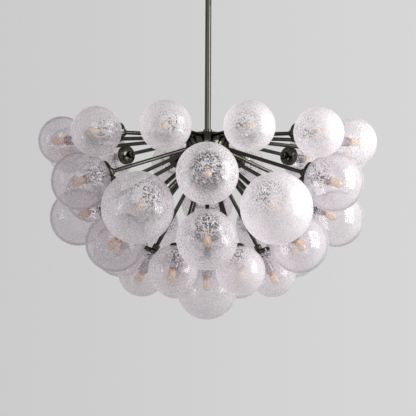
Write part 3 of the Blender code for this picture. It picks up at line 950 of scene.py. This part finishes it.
# One letter for each globe of a ring: milky, seedy, open in the middle, clear or dusky. Frost is how
# much of the glass its seeds cover, core the share of it that stays where the glass is seen square
# on, seediness how strongly it is speckled, and smoke and rim tint the glass and its outline.
globe_kinds = {"top": "mmsmmssmsdsm", "upper": "ocsscd", "middle": "mcssds", "lower": "ocsscd",
               "inner": "msssso", "bottom": "s"}
kind_layers = {"m": dict(frost=0.91, core=0.86, seediness=0.6, smoke=0.0, rim=0.2),
               "s": dict(frost=0.78, core=0.62, seediness=1.0, smoke=0.06, rim=0.3),
               "o": dict(frost=0.88, core=0.25, seediness=1.0, smoke=0.0, rim=0.3),
               "c": dict(frost=0.57, core=0.45, seediness=0.6, smoke=0.05, rim=0.9),
               "d": dict(frost=0.48, core=0.42, seediness=0.8, smoke=0.30, rim=1.0)}
random.seed(37)


def globe_mesh(name, ring, placed):
    """Hollow ball with a mouth and a rolled lip, very slightly wavy."""
    radius = ring["diameter"] / 2 - globe_trim
    mouth = 180 - math.degrees(math.asin(mouth_radius / radius))
    inner_radius = radius - glass_wall
    inner_mouth = 180 - math.degrees(math.asin((mouth_radius - mouth_taper) / inner_radius))
    outer = arc_points(0, 0, radius, radius, 90, 90 - mouth + mouth_ease_degrees, globe_rows)
    inner = arc_points(0, 0, inner_radius, inner_radius, 90 - inner_mouth + mouth_ease_degrees, 90,
                       globe_rows)
    outer[0] = (0, radius)
    inner[-1] = (0, inner_radius)
    lip = (outer[-1][0] - lip_roll, (outer[-1][1] + inner[0][1]) / 2 - lip_drop)
    mesh = turned_mesh(name, outer + [lip] + inner, globe_steps, closed=False, crease=math.pi)
    mesh.transform(placed)
    centre = placed.translation
    for vertex in mesh.vertices:
        away = vertex.co - centre
        wave = noise.noise(vertex.co * blown_wave_scale) - 0.5
        vertex.co -= away.normalized() * blown_wave * max(0.0, 1.0 + wave)
    return mesh


def seeded_glass():
    """Clear glass under a veil of seeds. The veil is the globe's own: its layers are painted on the
    mesh. Round the mouth and in front of the cap it breaks up into clear and dark patches: the real
    cap seen through, and a band of painted shade for the cap's rim as the rippled neck would bend it."""
    finish = Finish("seeded_glass")
    frost, core, seediness, smoke, rim, neck, front = (
        finish.node("ShaderNodeAttribute", {"attribute_name": layer}, None, "Fac")
        for layer in ("frost", "core", "seediness", "smoke", "rim", "neck", "front"))
    edge = finish.node("ShaderNodeLayerWeight", None, {"Blend": 0.5}, "Facing")

    bubbles = finish.node("ShaderNodeTexVoronoi", {"feature": "F1"}, {
        "Vector": finish.place(), "Scale": 150.0}, "Distance")
    bubble_dots = finish.step(bubbles, 0.10, 0.24, 1.0, 0.0)
    drifts = finish.step(finish.clouds(22.0, 3.0), 0.3, 0.7, 0.8, 1.0)
    grain = finish.step(finish.clouds(240.0, 1.5, 0.6), 0.38, 0.60)
    specks = finish.step(finish.clouds(180.0, 2.0, 0.6), 0.50, 0.57)
    patches = finish.step(finish.clouds(190.0, 1.8, 0.6) + core * 0.07, 0.50, 0.57)
    pits = finish.step(finish.clouds(210.0, 0.5), 0.36, 0.46, 0.32, 0.0)
    swell = finish.clouds(14.0, 1.0)
    relief = finish.bump(grain * 0.05 + bubble_dots * 0.08 + swell * 1.6, 0.0005)

    outline = finish.step(edge, 0.58, 0.78)
    # Painted shade: a dark band round the mouth, broken by specks, for the cap's rim seen bent through
    # the neck.
    dark = neck * (1 - neck) * (1 - specks) * 3.6
    tinted = finish.mixed(smoke, passing_light(finish, (0.968, 0.962, 0.966)),
                          passing_light(finish, (0.86, 0.84, 0.86)))
    tinted = finish.mixed(outline * rim, tinted, passing_light(finish, (0.62, 0.58, 0.64)))
    tinted = finish.mixed(dark, tinted, passing_light(finish, (0.30, 0.27, 0.30)))
    clear = see_through(finish, tinted, relief, 0.09, 0.035)

    milky = finish.node("ShaderNodeBsdfPrincipled", None, {
        "Base Color": finish.between((0.91, 0.885, 0.90), (0.985, 0.968, 0.978), grain),
        "Roughness": 0.4,
        "Coat Weight": 0.9,
        "Coat Roughness": 0.09,
        "Normal": relief,
    })
    glow = finish.node("ShaderNodeBsdfTranslucent", None, {"Color": (0.95, 0.93, 0.945, 1)})
    seeds = finish.mixed(0.5, milky, glow)

    speckles = (grain - 0.5) * seediness * 0.36 + 0.86 - pits * seediness
    slant = core + (1 - core) * finish.step(edge, 0.04, 0.34)
    veil = drifts * speckles * frost * slant
    thin = core * 0.22
    veil = veil * (1 - front) + (thin + patches * (0.90 - thin)) * front
    haze = veil * (1 - neck) + specks * neck * 0.9 + finish.step(edge, 0.80, 0.95, 0.0, 0.45)
    glass_body = finish.mixed(haze, clear, seeds)
    lamp_ray = finish.node("ShaderNodeLightPath", output="Is Shadow Ray")
    shadow = passing_light(finish, (0.87, 0.86, 0.87))
    return finish.output(finish.mixed(lamp_ray, glass_body, shadow))


# The neck layer fades away from the mouth, and the front layer from the spot over the cap on the side
# that faces the room. Both are angles in degrees at the globe's centre.
neck_reach, neck_fade = 50, 18
front_reach, front_fade = 33, 15
front_lean = 0.6


def fading(angle, reach, fade):
    """One inside the reach, and nothing outside it, with a soft edge."""
    return min(1.0, max(0.0, (reach - angle) / fade))


glass = seeded_glass()
for ring in RINGS:
    for order, number in enumerate(ring["globes"]):
        azimuth = ring["first"] + ring["step"] * order
        label = "%s_%02d" % (ring["name"], number)
        node_name = "globe_bottom" if ring["name"] == "bottom" else "globe_" + label
        placed = spoke_frame(ring, azimuth) @ Matrix.Translation((0, 0, spoke_line(ring)[0]))
        mesh = globe_mesh("glass_" + label, ring, placed)
        centre = placed.translation
        mouth_way = (placed.to_3x3() @ Vector((0, 0, -1))).normalized()
        front_way = Vector((mouth_way.x, -abs(mouth_way.y) - front_lean, mouth_way.z))
        kind = kind_layers[globe_kinds[ring["name"]][number - 1]]
        kind = {layer: value * random.uniform(0.95, 1.05) for layer, value in kind.items()}
        layers = {layer: [] for layer in (*kind, "neck", "front")}
        for vertex in mesh.vertices:
            away = vertex.co - centre
            outside = away.length > ring["diameter"] / 2 - globe_trim - 0.5 * glass_wall
            values = dict(kind)
            values["neck"] = fading(math.degrees(away.angle(mouth_way)), neck_reach, neck_fade)
            values["front"] = fading(math.degrees(away.angle(front_way)), front_reach, front_fade)
            for layer, value in values.items():
                outer_only = layer in ("frost", "neck", "front")
                layers[layer].append(0.0 if outer_only and not outside else value)
        for layer, values in layers.items():
            mesh.attributes.new(layer, "FLOAT", "POINT").data.foreach_set("value", values)
        piece("glass_" + label, mesh, glass, "fixture", "seeded_glass", node_name)


# Studio
#
# Pale wall behind and pale floor below, a broad window to the right, a weaker one to the left, and
# soft light from above and in front.

def seen_directly(finish):
    """One for what the eye sees, also in metal or through glass, and nothing for lamplight."""
    seen, mirrored, through = (finish.node("ShaderNodeLightPath", output=ray) for ray in
                               ("Is Camera Ray", "Is Glossy Ray", "Is Transmission Ray"))
    either = seen.maths("MAXIMUM", seen, mirrored)
    return either.maths("MAXIMUM", either, through)


def floor_paint():
    """Pale paint. The eye, metal and glass see it a little lighter than the lamps alone would make it,
    and from below it isn't seen at all."""
    finish = Finish("floor_paint")
    lit = finish.node("ShaderNodeBsdfPrincipled", None, {
        "Base Color": finish.between((0.41, 0.41, 0.40), (0.43, 0.43, 0.42), finish.clouds(1.5)),
        "Roughness": 0.9,
    })
    glow = finish.node("ShaderNodeEmission", None, {"Color": (1, 1, 1, 1), "Strength": 0.44})
    paler = finish.node("ShaderNodeAddShader", None, {0: lit, 1: glow})
    below = finish.node("ShaderNodeNewGeometry", output="Backfacing")
    return finish.output(finish.mixed(below, finish.mixed(seen_directly(finish), lit, paler),
                                      passing_light(finish, (1, 1, 1))))


floor_height = -3.4
floor_reach = 34.0


def floor_sheet():
    """Square floor far below the lamp, wide enough that no view shows its end."""
    mesh = bpy.data.meshes.new("pale_floor")
    corners = [(x * floor_reach, y * floor_reach, floor_height)
               for x, y in ((-1, -1), (1, -1), (1, 1), (-1, 1))]
    mesh.from_pydata(corners, [], [(0, 1, 2, 3)])
    mesh.materials.append(floor_paint())
    made = bpy.data.objects.new("pale_floor", mesh)
    bpy.context.scene.collection.objects.link(made)


floor_sheet()

# Light goes through many walls of glass on its way through the lamp.
scene = bpy.context.scene
scene.view_settings.view_transform = "Standard"
scene.cycles.max_bounces = 24
scene.cycles.transmission_bounces = 24
scene.cycles.transparent_max_bounces = 32

# The wall is painted lighter to the right, where the window would light it, and darker overhead.
wall_grey_left = (0.585, 0.585, 0.585)
wall_grey_right = (0.69, 0.69, 0.69)
ceiling_grey = (0.30, 0.30, 0.30)
room_light_below = 0.05
room_light_above = 0.56


def studio_world():
    """Room light that grows from the floor up, and the pale wall seen behind the lamp, painted lighter
    to the right as the window would light it.
    """
    room = Finish("studio", bpy.data.worlds.new("studio"))
    way = room.node("ShaderNodeTexCoord", output="Generated")
    side = room.node("ShaderNodeSeparateXYZ", None, {0: way}, "X")
    height = room.node("ShaderNodeSeparateXYZ", None, {0: way}, "Z")
    light = room.node("ShaderNodeBackground", None, {
        "Color": (1.0, 0.99, 0.99, 1),
        "Strength": room.step(height, -0.6, 0.8, room_light_below, room_light_above),
    })
    wall = room.between(wall_grey_left, wall_grey_right, room.step(side, -0.25, 0.25))
    grey = room.node("ShaderNodeMix", {"data_type": "RGBA"}, {
        "Factor": room.step(height, 0.35, 0.9), 6: wall, 7: (*ceiling_grey, 1)}, 2)
    shown = room.node("ShaderNodeBackground", None, {"Color": grey})
    return room.output(room.mixed(seen_directly(room), light, shown), "ShaderNodeOutputWorld")


scene.world = studio_world()
lamp_target_drop = 0.2


def window_light(name, azimuth, elevation, distance, width, height, power):
    """Soft rectangular light that faces the middle of the globes."""
    lamp = bpy.data.lights.new(name, "AREA")
    lamp.shape = "RECTANGLE"
    lamp.size = width
    lamp.size_y = height
    lamp.energy = power
    made = bpy.data.objects.new(name, lamp)
    scene.collection.objects.link(made)
    a, e = math.radians(azimuth), math.radians(elevation)
    away = Vector((math.cos(e) * math.sin(a), -math.cos(e) * math.cos(a), math.sin(e)))
    made.location = Vector((0, 0, cluster_centre - lamp_target_drop)) + away * distance
    made.rotation_mode = "QUATERNION"
    made.rotation_quaternion = away.to_track_quat("Z", "Y")


window_light("window_right", azimuth=61, elevation=9, distance=1.6, width=0.95, height=1.5, power=31)
window_light("window_left", azimuth=-70, elevation=6, distance=3.6, width=0.8, height=1.6, power=6)
window_light("front_fill", azimuth=-8, elevation=20, distance=4.4, width=1.8, height=1.8, power=20)


# Camera
#
# Stands in front and below the globes and looks up a little, as the photograph's did.

camera_distance = 4.594
camera_drop = 0.6218
camera_side = 0.0024
camera_pitch = 5.177
camera_roll = 0.32
camera_lens = 127.5
camera_sensor = 36.0

camera_data = bpy.data.cameras.new("camera")
camera_data.lens = camera_lens
camera_data.sensor_width = camera_sensor
camera = bpy.data.objects.new("camera", camera_data)
scene.collection.objects.link(camera)
camera_place = Vector((camera_side, -camera_distance, cluster_centre - camera_drop))
camera.matrix_world = (Matrix.Translation(camera_place)
                       @ Matrix.Rotation(math.radians(90 + camera_pitch), 4, "X")
                       @ Matrix.Rotation(math.radians(camera_roll), 4, "Z"))
scene.camera = camera
